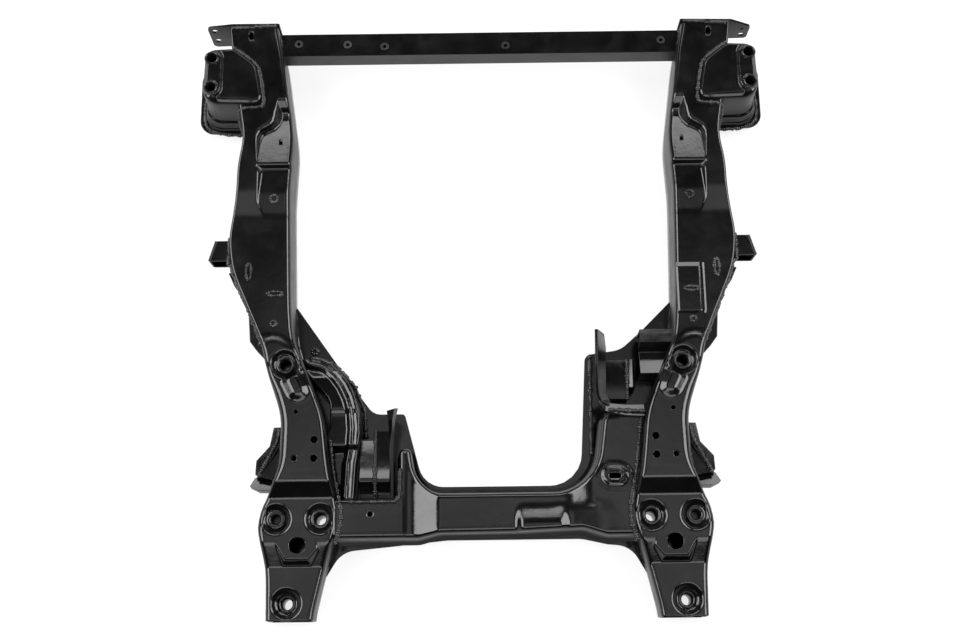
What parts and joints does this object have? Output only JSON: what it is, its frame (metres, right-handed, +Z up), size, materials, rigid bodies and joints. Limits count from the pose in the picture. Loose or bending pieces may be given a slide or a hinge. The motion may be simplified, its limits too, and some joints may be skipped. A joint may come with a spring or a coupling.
{
  "type": "front subframe",
  "caption": "Welded black steel front subframe: pressed box rails with mount cups, a front tube and a rear crossmember with engine-mount and torque-rod brackets.",
  "frame": {"origin": "middle of the footprint, on the plane of the undersides of the rails", "axes": "+Y to the front of the car, +X to its right as seen from above with the front at the top, +Z up"},
  "size_m": [0.956, 0.974, 0.114],
  "materials": {
    "black_paint": "gloss black",
    "collar_paint": "satin black",
    "nut_steel": "satin black"
  },
  "bodies": {
    "root": {"left_rail_upper": "black_paint", "right_rail_upper": "black_paint", "left_rail_lower": "black_paint", "right_rail_lower": "black_paint", "front_tube": "black_paint", "tube_rivet_nuts": "nut_steel", "left_end_plate": "black_paint", "right_end_plate": "black_paint", "left_cup": "black_paint", "right_cup": "black_paint", "left_cup_base": "black_paint", "right_cup_base": "black_paint", "left_cup_collars": "collar_paint", "right_cup_collars": "collar_paint", "left_stub": "black_paint", "right_stub": "black_paint", "left_mid_sleeve": "collar_paint", "right_mid_sleeve": "collar_paint", "left_rear_sleeve": "collar_paint", "right_rear_sleeve": "collar_paint", "left_arm_collar": "collar_paint", "right_arm_collar": "collar_paint", "left_arm_nut": "nut_steel", "right_arm_nut": "nut_steel", "left_arm_bracket": "black_paint", "right_arm_bracket": "black_paint", "left_gusset": "black_paint", "right_gusset": "black_paint", "left_weld_nut": "nut_steel", "right_weld_nut": "nut_steel", "crossmember_upper": "black_paint", "crossmember_lower": "black_paint", "left_reinforcement": "black_paint", "left_mount_inner": "black_paint", "left_mount_outer": "black_paint", "right_torque_plate": "black_paint", "right_mount_box": "black_paint", "right_step_bracket": "black_paint", "right_rail_pad": "black_paint"}
  },
  "joints": []
}
